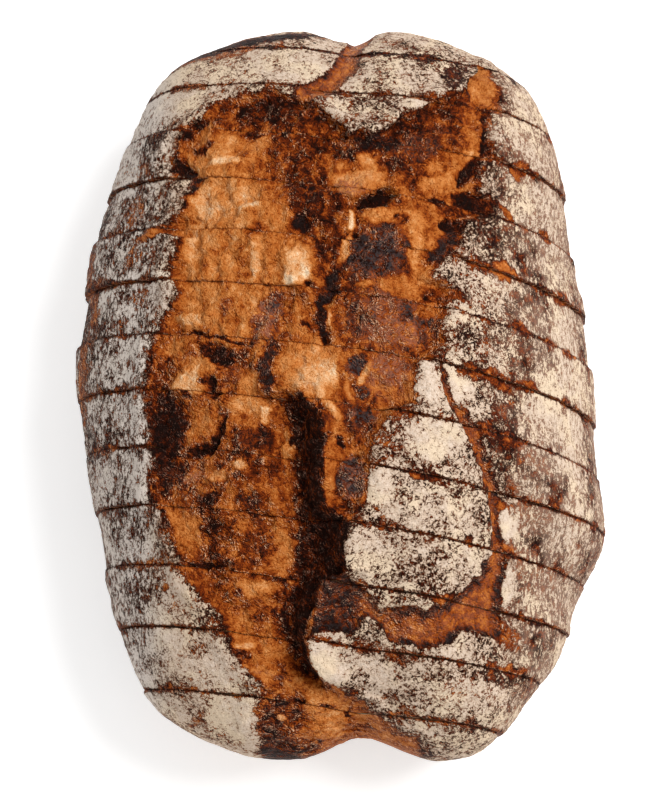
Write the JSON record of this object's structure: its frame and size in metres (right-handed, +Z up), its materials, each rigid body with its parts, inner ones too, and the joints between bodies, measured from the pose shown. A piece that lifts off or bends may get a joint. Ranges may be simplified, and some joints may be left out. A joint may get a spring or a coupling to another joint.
{
  "type": "sourdough loaf",
  "caption": "Floured oval sourdough loaf with a deep burst down its top, machine-cut into slices that still stand together on a flat base.",
  "frame": {"origin": "middle of the loaf's footprint, on the surface it rests on", "axes": "+Y along the loaf from the near heel to the far heel, +Z up out of the flat base, +X across the loaf towards the floured island's side"},
  "size_m": [0.1546, 0.2176, 0.0843],
  "materials": {
    "slice_crust": "floured bread crust, orange-brown in the burst, cream crumb on the cut faces",
    "heel_crust": "floured bread crust, darker towards the ends, cream crumb on the cut face"
  },
  "bodies": {
    "root": {"heel_far": "heel_crust", "slice_01": "slice_crust", "slice_02": "slice_crust", "slice_03": "slice_crust", "slice_04": "slice_crust", "slice_05": "slice_crust", "slice_06": "slice_crust", "slice_07": "slice_crust", "slice_08": "slice_crust", "slice_09": "slice_crust", "slice_10": "slice_crust", "slice_11": "slice_crust", "slice_12": "slice_crust", "heel_near": "heel_crust"}
  },
  "joints": []
}
